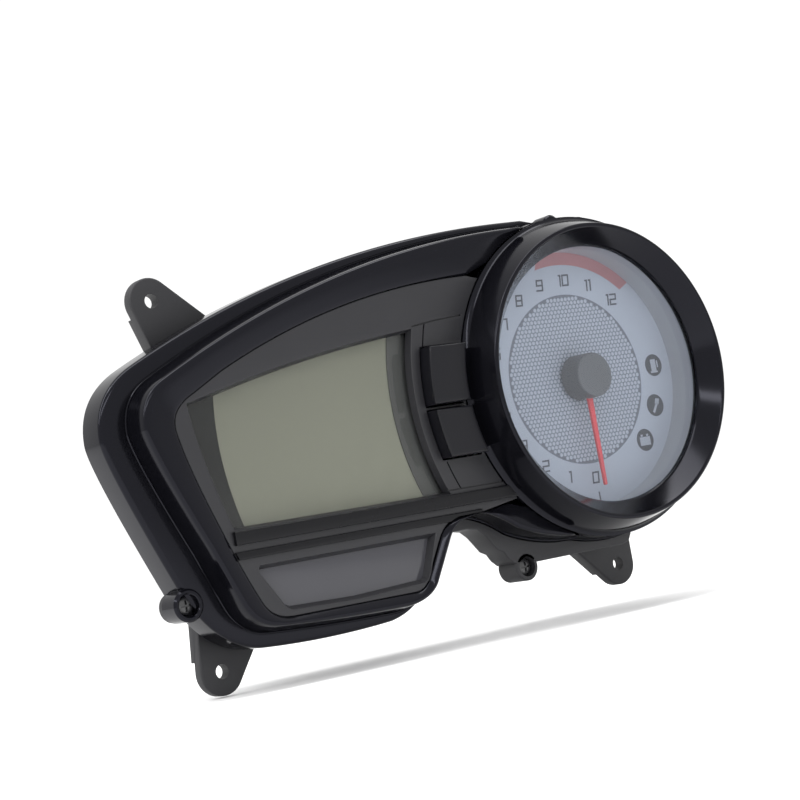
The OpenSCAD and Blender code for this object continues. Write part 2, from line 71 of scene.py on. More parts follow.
# ---------------------------------------------------------------- studio
# A white paper floor under two soft boxes, a narrow strip light and an even white
# surround, which the gloss black plastic needs to show its form.
def linear(colour):
    """sRGB hex colour to the linear values that Blender wants."""
    parts = [int(colour[i:i + 2], 16) / 255 for i in (1, 3, 5)]
    parts = [p / 12.92 if p <= 0.04045 else ((p + 0.055) / 1.055) ** 2.4 for p in parts]
    return (*parts, 1)


def add(tree, kind, settings, links):
    """Adds one node: settings are its fields or sockets, links say what feeds each socket."""
    made = tree.nodes.new(kind)
    for name, value in settings.items():
        if isinstance(name, int) or name in made.inputs:
            made.inputs[name].default_value = value
        else:
            setattr(made, name, value)
    for name, source in links.items():
        tree.links.new(source, made.inputs[name])
    return made


def empty_material(name):
    """A material with only its output node left."""
    made = bpy.data.materials.new(name)
    made.use_nodes = True
    tree = made.node_tree
    tree.nodes.clear()
    output = tree.nodes.new("ShaderNodeOutputMaterial")
    return made, tree, output


def put(name, mesh):
    """Makes an object of a mesh and links it to the scene."""
    made = bpy.data.objects.new(name, mesh)
    bpy.context.scene.collection.objects.link(made)
    return made


paper, tree, output = empty_material("white_paper")
fibres = add(tree, "ShaderNodeTexNoise", {"Scale": 400.0, "Detail": 4.0}, {})
tone = add(tree, "ShaderNodeMapRange", {"To Min": 0.94, "To Max": 0.96},
           {"Value": fibres.outputs["Fac"]})
shader = add(tree, "ShaderNodeBsdfPrincipled", {"Roughness": 0.9},
             {"Base Color": tone.outputs["Result"]})
tree.links.new(shader.outputs["BSDF"], output.inputs["Surface"])
sweep_mesh = bpy.data.meshes.new("paper_sweep")
ground = cad_box[0][2] - 0.0005
half = 6
sweep_mesh.from_pydata([(-half, -half, ground), (half, -half, ground), (half, half, ground),
                        (-half, half, ground)], [], [(0, 1, 2, 3)])
sweep_mesh.materials.append(paper)
sweep = put("paper_sweep", sweep_mesh)

world = bpy.data.worlds.new("white_surround")
world.use_nodes = True
world.node_tree.nodes["Background"].inputs["Color"].default_value = linear("#ffffff")
world.node_tree.nodes["Background"].inputs["Strength"].default_value = 1.08
bpy.context.scene.world = world
bpy.context.scene.view_settings.view_transform = "Standard"


def soft_box(name, place, aim, width, height, power):
    """A rectangular area lamp at place, facing aim."""
    lamp = bpy.data.lights.new(name, "AREA")
    lamp.shape = "RECTANGLE"
    lamp.size = width
    lamp.size_y = height
    lamp.energy = power
    made = bpy.data.objects.new(name, lamp)
    bpy.context.scene.collection.objects.link(made)
    made.location = place
    away = np.array(aim, float) - np.array(place, float)
    rise = math.atan2(away[2], math.hypot(away[0], away[1]))
    made.rotation_euler = (math.pi / 2 + rise, 0, math.atan2(-away[0], away[1]))
    return made


middle = (-0.09, 0.0, 0.05)
soft_box("key_box", (-0.9, 0.1, 0.8), middle, 0.2, 0.9, 5.0)
soft_box("top_box", (-0.1, -0.12, 1.1), middle, 1.3, 0.45, 9.0)
soft_box("front_strip", (-0.6, -0.7, 0.6), middle, 1.1, 0.1, 3.0)


# ---------------------------------------------------------------- rear housing
# The tray that carries everything: a stepped tub with a flange, a chin below the
# dial and four screw ears. Injection moulded in black glass filled polypropylene
# with a fine spark eroded grain, so it is dark grey and nearly matt.
low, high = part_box("dial_plate")
dial = ((low.x + high.x) / 2, low.y - 0.00002, (low.z + high.z) / 2)


def at(x, y, z):
    """Millimetres from the middle of the dial face to metres in the part's frame."""
    return (dial[0] + x / 1000, dial[1] + y / 1000, dial[2] + z / 1000)


def arc(centre, radius, start, end, steps):
    """Points along an arc between two angles in degrees, with both ends."""
    return [(centre[0] + radius * math.cos(math.radians(start + (end - start) * i / steps)),
             centre[1] + radius * math.sin(math.radians(start + (end - start) * i / steps)))
            for i in range(steps + 1)]


def bend(a, b, c, steps):
    """A curve from a to c that leaves towards b; a itself is left out."""
    return [tuple((1 - t) ** 2 * a[k] + 2 * t * (1 - t) * b[k] + t * t * c[k] for k in (0, 1))
            for t in [i / steps for i in range(1, steps + 1)]]


def moved_out(points, distance):
    """Moves every side of an anticlockwise outline outwards."""
    made = []
    for i in range(len(points)):
        a, b, c = (np.array(points[j % len(points)], float) for j in (i - 1, i, i + 1))
        u = (b - a) / np.linalg.norm(b - a)
        v = (c - b) / np.linalg.norm(c - b)
        n1 = np.array([u[1], -u[0]])
        n2 = np.array([v[1], -v[0]])
        made.append(tuple(b + distance * (n1 + n2) / (1 + n1 @ n2)))
    return made


def tidy(mesh):
    """Joins points that coincide, turns faces outwards and leaves flat faces flat."""
    work = bmesh.new()
    work.from_mesh(mesh)
    bmesh.ops.remove_doubles(work, verts=work.verts, dist=2e-6)
    bmesh.ops.dissolve_degenerate(work, edges=work.edges, dist=1e-6)
    bmesh.ops.recalc_face_normals(work, faces=work.faces)
    work.to_mesh(mesh)
    work.free()
    for face in mesh.polygons:
        face.use_smooth = abs(face.normal.y) < 0.9995
    mesh.set_sharp_from_angle(angle=math.radians(38))
    return mesh


def plate(outlines, front, back, edge, steps=3):
    """A flat part between two depths with rounded edges; later outlines are holes."""
    curve = bpy.data.curves.new("outline", "CURVE")
    curve.dimensions = "2D"
    curve.fill_mode = "BOTH"
    for points in outlines:
        line = curve.splines.new("POLY")
        line.points.add(len(points) - 1)
        for spot, (x, z) in zip(line.points, points):
            spot.co = (x / 1000, z / 1000, 0, 1)
        line.use_cyclic_u = True
    curve.extrude = (back - front) / 2000 - edge / 1000
    curve.bevel_depth = edge / 1000
    curve.bevel_resolution = steps
    curve.offset = -edge / 1000
    holder = put("outline", curve)
    bpy.context.view_layer.update()
    mesh = bpy.data.meshes.new_from_object(holder.evaluated_get(
        bpy.context.evaluated_depsgraph_get()))
    bpy.data.objects.remove(holder)
    half = (front + back) / 2000
    for spot in mesh.vertices:
        x, z, y = spot.co
        spot.co = (dial[0] + x, dial[1] + half - y, dial[2] + z)
    return tidy(mesh)


def turned(profile, centre=(0, 0), steps=160):
    """Turns a closed profile of (radius, depth) about an axis along Y through centre."""
    verts = []
    faces = []
    count = len(profile)
    for i in range(steps):
        a = 2 * math.pi * i / steps
        for radius, depth in profile:
            verts.append(at(centre[0] + radius * math.cos(a), depth,
                            centre[1] + radius * math.sin(a)))
    for i in range(steps):
        for j in range(count):
            p = i * count + j
            q = i * count + (j + 1) % count
            r = ((i + 1) % steps) * count + (j + 1) % count
            s = ((i + 1) % steps) * count + j
            faces.append((p, q, r, s))
    mesh = bpy.data.meshes.new("turned")
    mesh.from_pydata(verts, [], faces)
    return tidy(mesh)


def together(name, meshes):
    """One object from several meshes."""
    work = bmesh.new()
    for mesh in meshes:
        work.from_mesh(mesh)
    joined = bpy.data.meshes.new(name)
    work.to_mesh(joined)
    work.free()
    return put(name, joined)


def cut(meshes, tools):
    """Welds closed meshes into one solid and takes the tools' shapes out of it."""
    body = put("body", meshes[0])
    others = [put("other", mesh) for mesh in meshes[1:]]
    knives = [put("knife", mesh) for mesh in tools]
    for kind, group in (("UNION", others), ("DIFFERENCE", knives)):
        for tool in group:
            change = body.modifiers.new(kind, "BOOLEAN")
            change.operation = kind
            change.solver = "EXACT"
            change.object = tool
    bpy.context.view_layer.update()
    mesh = bpy.data.meshes.new_from_object(body.evaluated_get(
        bpy.context.evaluated_depsgraph_get()))
    for used in [body] + others + knives:
        bpy.data.objects.remove(used)
    return tidy(mesh)


def shade(colour, share):
    """A colour made darker or lighter."""
    return (*(min(1, c * share) for c in linear(colour)[:3]), 1)


def moulded(name, colour, roughness, grain, depth, shift=0.12, specular=0.5):
    """Moulded plastic: slight colour and gloss changes, and grain bumps of a size in mm."""
    # The grain of a real tool is near 0.05 mm. It is drawn coarser, so that it shows.
    made, tree, output = empty_material(name)
    place = add(tree, "ShaderNodeTexCoord", {}, {})
    spots = add(tree, "ShaderNodeTexNoise", {"Scale": 1000 / grain, "Detail": 3.0},
                {"Vector": place.outputs["Object"]})
    cloud = add(tree, "ShaderNodeTexNoise", {"Scale": 45.0, "Detail": 2.0},
                {"Vector": place.outputs["Object"]})
    tone = add(tree, "ShaderNodeMix",
               {"data_type": "RGBA", 6: shade(colour, 1 - shift), 7: shade(colour, 1 + shift)},
               {0: cloud.outputs["Fac"]})
    gloss = add(tree, "ShaderNodeMapRange",
                {"To Min": roughness * 0.9, "To Max": min(1, roughness * 1.1)},
                {"Value": cloud.outputs["Fac"]})
    bump = add(tree, "ShaderNodeBump", {"Strength": 1.0, "Distance": depth / 1000},
               {"Height": spots.outputs["Fac"]})
    shader = add(tree, "ShaderNodeBsdfPrincipled", {"IOR": 1.49, "Specular IOR Level": specular},
                 {"Base Color": tone.outputs[2], "Roughness": gloss.outputs["Result"],
                  "Normal": bump.outputs["Normal"]})
    tree.links.new(shader.outputs["BSDF"], output.inputs["Surface"])
    return made


def fixed(made, material, slot, *replaced):
    """Finishes a piece that stays with the housing and stands for CAD nodes."""
    made.data.materials.clear()
    made.data.materials.append(material)
    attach(made, "housing")
    if replaced:
        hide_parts(*replaced)
    return made


def cad(node, material):
    """Gives a CAD node that stays its material."""
    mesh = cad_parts[node].data
    mesh.materials.clear()
    mesh.materials.append(material)


cover_edge = (arc((0, 0), 55.6, -106, 97, 60)
              + bend((-7, 56.4), (-96, 56.4), (-169, 22), 40)
              + bend((-169, 22), (-183.4, 15.2), (-183.4, 0.8), 14)
              + bend((-183.4, 0.8), (-183.4, -6), (-165.5, -47), 20)
              + bend((-165.5, -47), (-155.5, -66.5), (-140, -67.6), 14)
              + bend((-140, -67.6), (-117, -69.4), (-93, -67.8), 8)
              + bend((-93, -67.8), (-84, -66.5), (-78, -59.5), 10) + [(-69.5, -46.5)]
              + bend((-69.5, -46.5), (-68, -43.5), (-64.5, -41.5), 6)
              + bend((-60, -39.8), (-52, -40.8), (-43, -47.4), 10)
              + bend((-43, -47.4), (-34, -51.8), (-22, -53.2), 10))
tub_edge = (arc((0, 0), 50.4, -70, 100, 48)
            + bend((-14, 50.6), (-92, 50.6), (-163, 17.6), 20)
            + bend((-163, 17.6), (-177.6, 12), (-177.6, 0), 8)
            + bend((-177.6, 0), (-176.4, -8), (-160.2, -45), 8)
            + bend((-160.2, -45), (-152, -61), (-139, -62), 8) + [(-93, -62.4)]
            + bend((-93, -62.4), (-86, -62), (-82, -56), 6)
            + [(-74, -42), (-66, -37.5), (-50, -37.5), (-36, -47), (-24, -50.5), (6, -50.5)])
tub_floor = (arc((0, 0), 41, -60, 96, 44)
             + bend((-14, 41.5), (-70, 41.5), (-140, 15), 14)
             + bend((-140, 15), (-163.2, 7.6), (-161, -8), 12)
             + bend((-153, -38), (-149, -51), (-138, -51), 8)
             + bend((-100, -51), (-88, -51), (-84, -42), 8)
             + bend((-84, -42), (-80, -33.5), (-70, -33.5), 8) + [(-46, -33.5)]
             + bend((-40, -34), (-20, -46), (6, -43), 8))
chin_edge = [(-64, -38), (-64, -43.8), (-57, -43.8), (-53, -44.5), (-50.4, -46.7),
             (-48.4, -49.3), (-46.2, -52.2), (-43.8, -53.4), (-42.2, -55.9), (-40, -57.8),
             (-36, -58.6), (8, -58.6), (11, -57.8), (12.4, -55.6), (15, -48), (15, -38)]
chin_hollow = [(-62, -34), (-62, -41.6), (-55, -41.6), (-50.4, -45), (-40, -54), (-34, -56.2),
               (8, -56.2), (12.6, -48), (12.6, -34)]
# Each ear: its hole, then the angle at which its tip starts and the root that side
# runs to, and the same where the tip ends.
ears = [((-151.1, 42.4), 49.7, (-128, 32.4), 199.8, (-152.7, 24.8)),
        ((-148.8, -72.6), 174.4, (-154.6, -56), 324, (-130.6, -60.2)),
        ((15.4, -65.3), 225.4, (-8.6, -52), 360, (22.8, -43)),
        ((26.8, 51.3), -1.2, (33.9, 35.6), 125.9, (9.9, 48.2))]
# Each rib: its two ends and its width, to the left of the run where that is below nought.
ribs = [((-157.2, 37.6), (-152.7, 24.8), -2.2), ((-155.9, -68.6), (-154.6, -56), 2.2),
        ((7.4, -67.8), (-4.8, -55.7), 2.2)]
boss_lower_left = (-165, -50.7)
boss_chin = (-35.3, -59.5)
boss_top = (5.5, 54.4)
boss_right = (55.8, -15)
back_screws = [(-112, 34), (-161, -22), (-46, 44.6)]
board_posts = ((-158, -4, 30), (-146.5, -49, 20), (20, -34, 36), (16, 36, 36), (-66, 31, 36))
wall = 2.2
deck = 12
step_back = 21
tub_back = 38
flange_front = 8.5
ear_front = 14
ear_back = 18
ear_tip = 7.4
ear_hole = 2.25
lug_half = 3.4

deep = plate([tub_floor], step_back - wall, tub_back, 1.6)
deep_inside = plate([moved_out(tub_floor, -wall)], deck, tub_back - wall, 0.9)
step = plate([tub_edge], deck, step_back, 1.0)
step_inside = plate([moved_out(tub_edge, -wall)], 8, step_back - wall, 0.4)
flange = plate([moved_out(cover_edge, -2.6)], flange_front, deck + 0.05, 0.25)
chin = plate([chin_edge], 1, 11.4, 0.5)
chin_deep = plate([[(-24, -50), (-24, -58.6), (8, -58.6), (11, -57.8), (12.4, -55.6), (15, -48),
                    (15, -42)]], 11, 18, 0.4)
web = plate([moved_out(chin_edge, -1.8)], 11.3, 13.5, 0.2)
chin_inside = plate([chin_hollow], 3.4, 30, 0.2)
cover_room = plate([moved_out(cover_edge, 0.3)], -1, 11.4, 0.05)
chin = cut([chin, chin_deep], [chin_inside, cover_room, step_inside])
lump = turned([(0, 1), (3.3, 1), (4.2, 1), (4.7, 1.5), (4.7, 10.6), (4.3, 11), (0, 11)],
              boss_chin, 48)
lump_hole = turned([(0, -1), (3.3, -1), (3.3, 4), (1.3, 4), (1.3, 10.4), (0, 10.4)], boss_chin, 48)
side_lug = turned([(0, 6), (4.3, 6), (4.6, 6.3), (4.6, 8.3), (4.3, 8.6), (0, 8.6)],
                  boss_lower_left, 48)
side_arm = [(boss_lower_left[0] + q * 0.89 - w * 0.456, boss_lower_left[1] + q * 0.456 + w * 0.89)
            for q, w in ((0, 2.8), (8, 2.8), (8, -2.8), (0, -2.8))]
lugs = [side_lug, plate([side_arm], flange_front, 11, 0.2)]
for p in (boss_top, boss_right):
    u = np.array(p) / math.hypot(*p)
    n = np.array([-u[1], u[0]])
    root = 49 * u
    nose = [tuple(p + lug_half * (n * math.cos(a) + u * math.sin(a)))
            for a in np.linspace(0, math.pi, 17)]
    outline = [tuple(root + lug_half * n)] + nose + [tuple(root - lug_half * n)]
    lugs.append(plate([outline], 11.3, 14.4, 0.3))
arms = []
holes = []
for p, start, start_root, end, end_root in ears:
    outline = [start_root] + arc(p, ear_tip, start, end, 40) + [end_root]
    arms.append(plate([outline], ear_front, ear_back, 0.6))
    holes.append(turned([(0, ear_front - 2), (ear_hole, ear_front - 2), (ear_hole, ear_back + 2),
                         (0, ear_back + 2)], p, 48))
for a, b, w in ribs:
    run = np.array(b, float) - np.array(a, float)
    run = run / np.linalg.norm(run)
    side = w * np.array([run[1], -run[0]])
    corners = [tuple(a), tuple(b), tuple(np.array(b) + side), tuple(np.array(a) + side)]
    if w < 0:
        corners = corners[::-1]
    arms.append(plate([corners], 17, 19.6, 0.3))
posts = [turned([(0, 8.5), (3.6, 8.5), (3.6, 20), (0, 20)], p, 32) for p in back_screws]
for x, z, end in board_posts:
    posts.append(turned([(0, 14.22), (3, 14.22), (3, end), (0, end)], (x, z), 32))
    holes.append(turned([(0, 13), (1.2, 13), (1.2, 19.8), (0, 19.8)], (x, z), 24))
for p in back_screws:
    holes.append(turned([(0, 7), (1.7, 7), (1.7, 22), (0, 22)], p, 24))
holes.append(turned([(0, 4), (1.3, 4), (1.3, 13), (0, 13)], boss_lower_left, 24))
for p in (boss_top, boss_right):
    holes.append(turned([(0, 10), (1.6, 10), (1.6, 16), (0, 16)], p, 24))
low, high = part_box("connector_header")
socket_gap = 0.2
left = (low.x - dial[0]) * 1000 - socket_gap
bottom = (low.z - dial[2]) * 1000 - socket_gap
right = (high.x - dial[0]) * 1000 + socket_gap
top = (high.z - dial[2]) * 1000 + socket_gap
holes.append(plate([[(left, bottom), (right, bottom), (right, top), (left, top)]], 30, 40, 0.2))
tub = cut([deep, step, flange, web], [deep_inside, step_inside])
tub = cut([tub, chin, lump] + lugs + arms + posts, [lump_hole] + holes)
grained_polypropylene = moulded("grained_polypropylene", "#212124", 0.55, 0.35, 0.008,
                                specular=0.4)
fixed(put("rear_tray", tub), grained_polypropylene, "housing_pp", "rear_housing")

# ---------------------------------------------------------------- seal and breather
# A soft silicone cord lies in the flange, and a small rubber cap lets the housing
# breathe. Both are moulded rubber, black with a dull bloom.
soft_rubber = moulded("moulded_silicone_rubber", "#19191a", 0.75, 0.6, 0.02)
cad("housing_seal", soft_rubber)
cad("lens_gasket", soft_rubber)
low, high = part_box("breather_cap")
cap_middle = ((low.x + high.x) / 2 - dial[0]) * 1000, ((low.z + high.z) / 2 - dial[2]) * 1000
cap = turned([(0, 38.02), (5, 38.02), (5, 40.2), (4.2, 41), (3.2, 41), (2.8, 40.5), (0, 40.4)],
             cap_middle, 64)
fixed(put("breather", cap), soft_rubber, "gasket_rubber", "breather_cap")

# ---------------------------------------------------------------- circuit board
# Green solder mask over woven glass epoxy, with the motor, switches, lamps and
# chips soldered to it. The weave shows as a faint grid under the gloss.
solder_mask, tree, output = empty_material("green_solder_mask")
threads_a_metre = 1300.0
place = add(tree, "ShaderNodeTexCoord", {}, {})
weave = add(tree, "ShaderNodeTexChecker", {"Scale": threads_a_metre},
            {"Vector": place.outputs["Object"]})
mask_tone = add(tree, "ShaderNodeMix",
                {"data_type": "RGBA", 6: linear("#0f4a26"), 7: linear("#135a2f")},
                {0: weave.outputs["Fac"]})
shader = add(tree, "ShaderNodeBsdfPrincipled", {"Roughness": 0.32, "IOR": 1.5},
             {"Base Color": mask_tone.outputs[2]})
tree.links.new(shader.outputs["BSDF"], output.inputs["Surface"])
cad("main_pcb", solder_mask)


def metal(name, colour, roughness, mark):
    """Bare or plated metal with fine handling marks of a size in mm."""
    made, tree, output = empty_material(name)
    place = add(tree, "ShaderNodeTexCoord", {}, {})
    marks = add(tree, "ShaderNodeTexNoise", {"Scale": 1000 / mark, "Detail": 4.0},
                {"Vector": place.outputs["Object"]})
    gloss = add(tree, "ShaderNodeMapRange", {"To Min": roughness * 0.8, "To Max": roughness * 1.2},
                {"Value": marks.outputs["Fac"]})
    tone = add(tree, "ShaderNodeMix",
               {"data_type": "RGBA", 6: linear(colour), 7: shade(colour, 0.85)},
               {0: marks.outputs["Fac"]})
    shader = add(tree, "ShaderNodeBsdfPrincipled", {"Metallic": 1.0},
                 {"Base Color": tone.outputs[2], "Roughness": gloss.outputs["Result"]})
    tree.links.new(shader.outputs["BSDF"], output.inputs["Surface"])
    return made


tinned_brass = metal("tinned_brass", "#c9c5b8", 0.35, 0.8)
ground_steel = metal("ground_steel", "#a9a9ad", 0.25, 0.4)
zinc_plate = metal("zinc_plated_steel", "#b4b7ba", 0.3, 0.5)
black_oxide = moulded("black_oxide_steel", "#1b1b1e", 0.38, 0.5, 0.01, specular=0.8)
for node in ("motor_pins", "lcd_pins", "connector_pins"):
    cad(node, tinned_brass)
cad("motor_shaft", ground_steel)
cad("pcb_screws", zinc_plate)
# Moulded cases are satin black, and epoxy ones are duller with a finer grit.
cad("stepper_motor", moulded("black_pbt", "#1f1f22", 0.5, 0.5, 0.01))
cad("tact_switches", moulded("black_nylon", "#1c1c1e", 0.5, 0.4, 0.01))
cad("controller_chip", moulded("black_epoxy", "#1a1a1a", 0.6, 0.2, 0.01))
cad("voltage_regulator", moulded("black_epoxy_case", "#1a1a1a", 0.6, 0.2, 0.01))
cad("capacitors", metal("sleeved_aluminium_can", "#3a3a52", 0.35, 0.6))
phosphor = moulded("phosphor_in_silicone", "#e8dc8c", 0.4, 0.3, 0.005)
for node in ("telltale_leds", "backlight_leds", "dial_leds"):
    cad(node, phosphor)
natural_pbt = moulded("natural_pbt", "#ddd8c8", 0.5, 0.5, 0.01, 0.05)
cad("connector_header", natural_pbt)

# ---------------------------------------------------------------- light boxes
# White reflective polycarbonate frames and milky acrylic sheets spread the lamps'
# light behind the display, the lamp strip and the dial.
white_pc = moulded("white_polycarbonate", "#e9e9e6", 0.45, 0.5, 0.01, 0.03)
for node in ("lcd_housing", "telltale_light_box", "dial_frame"):
    cad(node, white_pc)
milky_acrylic = moulded("milky_acrylic", "#eef0ee", 0.2, 0.5, 0.002, 0.02)
for node in ("lcd_diffuser", "dial_light_guide"):
    cad(node, milky_acrylic)

# ---------------------------------------------------------------- display
# A liquid crystal cell, switched off, behind a black printed mask and an acrylic
# window. The rear polariser gives the resting cell its warm grey green. Painted light
# and shade make it a little lighter towards the lower right.
lcd_open = (arc((0, 0), 75, 205, 162.6, 30) + bend((-71.6, 22.4), (-112, 19), (-149, 9.8), 16)
            + [(-157.6, 7.8)] + bend((-157.6, 7.8), (-156.6, -8), (-148.8, -31.4), 14))
lcd_view = (arc((0, 0), 81.7, 202.5, 164.8, 30) + bend((-78.8, 21), (-112, 17.8), (-146, 9.4), 16)
            + bend((-146, 9.4), (-149, -10), (-143, -31), 12))
polariser, tree, output = empty_material("resting_polariser")
place = add(tree, "ShaderNodeTexCoord", {}, {})
split = add(tree, "ShaderNodeSeparateXYZ", {}, {"Vector": place.outputs["Object"]})
low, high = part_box("lcd_glass")
across = add(tree, "ShaderNodeMapRange", {"From Min": low.x, "From Max": high.x},
             {"Value": split.outputs["X"]})
down = add(tree, "ShaderNodeMapRange", {"From Min": high.z, "From Max": low.z},
           {"Value": split.outputs["Z"]})
sideways = add(tree, "ShaderNodeMath", {"operation": "MULTIPLY_ADD", 1: 0.45, 2: 0.0},
               {0: across.outputs["Result"]})
slanting = add(tree, "ShaderNodeMath", {"operation": "MULTIPLY_ADD", 1: 0.55},
               {0: down.outputs["Result"], 2: sideways.outputs["Value"]})
# Painted light and shade: the cell's colour is made lighter towards the lower right.
cell_tone_and_painted_light = add(tree, "ShaderNodeMix",
                {"data_type": "RGBA", 6: linear("#74746e"), 7: linear("#82827b")},
                {0: slanting.outputs["Value"]})
shader = add(tree, "ShaderNodeBsdfPrincipled",
             {"Roughness": 0.42, "IOR": 1.5, "Specular IOR Level": 0.2},
             {"Base Color": cell_tone_and_painted_light.outputs[2]})
tree.links.new(shader.outputs["BSDF"], output.inputs["Surface"])
cad("lcd_glass", polariser)

# Screen printed ink is black and dull. Its colour is painted greyer towards the dial:
# painted light, where it catches more light.
printed_mask, tree, output = empty_material("printed_mask")
place = add(tree, "ShaderNodeTexCoord", {}, {})
split = add(tree, "ShaderNodeSeparateXYZ", {}, {"Vector": place.outputs["Object"]})
across = add(tree, "ShaderNodeMapRange",
             {"From Min": dial[0] - 0.13, "From Max": dial[0] - 0.08},
             {"Value": split.outputs["X"]})
# Painted light: the ink's colour is made lighter towards the dial.
ink = add(tree, "ShaderNodeMix",
          {"data_type": "RGBA", 6: linear("#222226"), 7: linear("#48484c")},
          {0: across.outputs["Result"]})
shader = add(tree, "ShaderNodeBsdfPrincipled", {"Roughness": 0.4, "Specular IOR Level": 0.15},
             {"Base Color": ink.outputs[2]})
tree.links.new(shader.outputs["BSDF"], output.inputs["Surface"])
mask = plate([moved_out(lcd_open, 1.2), lcd_view], -3.96, -3.6, 0.05, 1)
fixed(put("display_mask", mask), printed_mask, "mask_print", "lcd_mask")


def clear(name, tint, share, roughness):
    """Clear moulded sheet: mostly lets light through, with a sharp skin reflection."""
    made, tree, output = empty_material(name)
    place = add(tree, "ShaderNodeTexCoord", {}, {})
    dust = add(tree, "ShaderNodeTexNoise", {"Scale": 60.0, "Detail": 3.0},
               {"Vector": place.outputs["Object"]})
    gloss = add(tree, "ShaderNodeMapRange", {"To Min": roughness * 0.7, "To Max": roughness * 1.3},
                {"Value": dust.outputs["Fac"]})
    through = add(tree, "ShaderNodeBsdfTransparent", {"Color": linear(tint)}, {})
    skin = add(tree, "ShaderNodeBsdfPrincipled", {"Base Color": (1, 1, 1, 1), "Metallic": 1.0},
               {"Roughness": gloss.outputs["Result"]})
    # The sheet has two skins. Light that meets the far one from inside has the index
    # turned over, or that skin would mirror everything.
    refraction = 1.49
    side = add(tree, "ShaderNodeNewGeometry", {}, {})
    index = add(tree, "ShaderNodeMapRange", {"To Min": refraction, "To Max": 1 / refraction},
                {"Value": side.outputs["Backfacing"]})
    facing = add(tree, "ShaderNodeFresnel", {}, {"IOR": index.outputs["Result"]})
    weight = add(tree, "ShaderNodeMath", {"operation": "MULTIPLY", 1: share},
                 {0: facing.outputs["Fac"]})
    mix = add(tree, "ShaderNodeMixShader", {},
              {0: weight.outputs["Value"], 1: through.outputs["BSDF"], 2: skin.outputs["BSDF"]})
    tree.links.new(mix.outputs["Shader"], output.inputs["Surface"])
    return made


window_acrylic = clear("hard_coated_acrylic", "#f4f5f2", 0.35, 0.05)
pane = plate([moved_out(lcd_open, 1.4)], -5.5, -4.0, 0.1, 1)
fixed(put("display_window", pane), window_acrylic, "window_pmma", "lcd_window")

# ---------------------------------------------------------------- lamp strip
# Five warning lamps behind one smoked acrylic strip, dark until a lamp is lit.
# The film behind it is printed black with clear generic symbols.
telltale_open = [(-76.6, -43), (-142.4, -43), (-143.4, -44.6), (-135.6, -56.6), (-133.6, -57.6),
                 (-110, -58.4), (-84, -57.6), (-82, -56.6)]
smoked, tree, output = empty_material("smoked_acrylic")
place = add(tree, "ShaderNodeTexCoord", {}, {})
cloud = add(tree, "ShaderNodeTexNoise", {"Scale": 30.0, "Detail": 2.0},
            {"Vector": place.outputs["Object"]})
smoke = add(tree, "ShaderNodeMix",
            {"data_type": "RGBA", 6: linear("#39393d"), 7: linear("#414146")},
            {0: cloud.outputs["Fac"]})
shader = add(tree, "ShaderNodeBsdfPrincipled",
             {"Roughness": 0.12, "IOR": 1.49, "Specular IOR Level": 0.35},
             {"Base Color": smoke.outputs[2]})
tree.links.new(shader.outputs["BSDF"], output.inputs["Surface"])
strip_lens = plate([moved_out(telltale_open, 0.9)], -5.5, -4.2, 0.2, 2)
fixed(put("lamp_strip_lens", strip_lens), smoked, "lamp_pmma", "telltale_lens")
cad("telltale_film", printed_mask)

# ---------------------------------------------------------------- rev counter dial
# A polycarbonate sheet screen printed silver grey with dark figures, a red zone
# and three dark lamp spots; the middle carries a fine printed mesh.
dial_silver, tree, output = empty_material("silver_screen_print")
# The flakes in the ink are finer than 0.05 mm. They are drawn at 0.2 mm, so that they show.
flake = 0.2
place = add(tree, "ShaderNodeTexCoord", {}, {})
flakes = add(tree, "ShaderNodeTexNoise", {"Scale": 1000 / flake, "Detail": 1.0},
             {"Vector": place.outputs["Object"]})
flake_tone = add(tree, "ShaderNodeMix",
                 {"data_type": "RGBA", 6: linear("#a6abb7"), 7: linear("#b6bbc7")},
                 {0: flakes.outputs["Fac"]})
shader = add(tree, "ShaderNodeBsdfPrincipled", {"Roughness": 0.5, "IOR": 1.5},
             {"Base Color": flake_tone.outputs[2]})
tree.links.new(shader.outputs["BSDF"], output.inputs["Surface"])
sheet = turned([(2.2, 0.02), (46, 0.02), (46, 0.8), (2.2, 0.8)], (0, 0), 128)
fixed(put("dial_sheet", sheet), dial_silver, "dial_print", "dial_plate")

dark_ink = moulded("dark_screen_ink", "#4c4e57", 0.5, 0.2, 0.001)
red_ink = moulded("red_screen_ink", "#ae7479", 0.45, 0.2, 0.001)
mesh_ink = moulded("grey_mesh_ink", "#6b6f7a", 0.5, 0.2, 0.001)


def printed(outlines, height=0.03):
    """Ink of a small thickness printed on the dial's face."""
    mesh = bpy.data.meshes.new("ink")
    work = bmesh.new()
    for points in outlines:
        front = [work.verts.new(at(x, 0.01 - height, z)) for x, z in points]
        rear = [work.verts.new(at(x, 0.015, z)) for x, z in points]
        work.faces.new(front)
        work.faces.new(rear[::-1])
        for i in range(len(points)):
            j = (i + 1) % len(points)
            work.faces.new((front[j], front[i], rear[i], rear[j]))
    bmesh.ops.recalc_face_normals(work, faces=work.faces)
    work.to_mesh(mesh)
    work.free()
    return mesh


